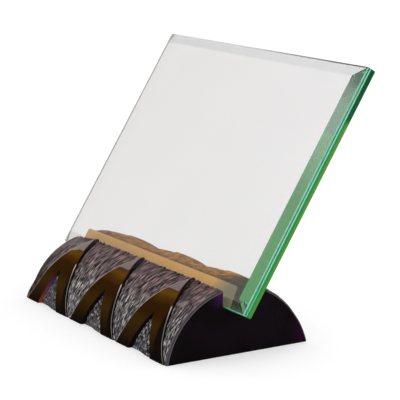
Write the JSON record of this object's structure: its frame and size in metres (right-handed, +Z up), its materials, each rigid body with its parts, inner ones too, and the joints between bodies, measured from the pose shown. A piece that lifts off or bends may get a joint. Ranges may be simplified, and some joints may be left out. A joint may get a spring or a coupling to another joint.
{
  "type": "slotted glass photo frame",
  "caption": "Table photo frame: a bevelled glass pane and a plain back pane lean in the lined slot of an arched, moulded dark glass base.",
  "frame": {"origin": "centre of the base's flat underside, on the table plane", "axes": "+X along the base and the panes' width, +Y to the back, the way the panes lean, +Z up"},
  "size_m": [0.18, 0.1051, 0.1337],
  "materials": {
    "dark_glass": "near-black amethyst pressed glass, polished amber-brown bands, bark-like rough fields",
    "tan_leather": "plain tan strip, matt",
    "rear_glass": "clear float glass, green at the edges",
    "front_glass": "clear float glass with polished bevels, green at the edges"
  },
  "bodies": {
    "base": {"base_casting": "dark_glass", "slot_liner": "tan_leather"},
    "rear_glass": {"rear_pane": "rear_glass"},
    "front_glass": {"front_pane": "front_glass"}
  },
  "joints": [
    {"name": "rear_pane_lift", "type": "slide", "parent": "base", "child": "rear_glass", "axis": [0, 0.5314, 0.8471], "range_m": [0, 0.04]},
    {"name": "front_pane_lift", "type": "slide", "parent": "base", "child": "front_glass", "axis": [0, 0.5314, 0.8471], "range_m": [0, 0.04]}
  ]
}
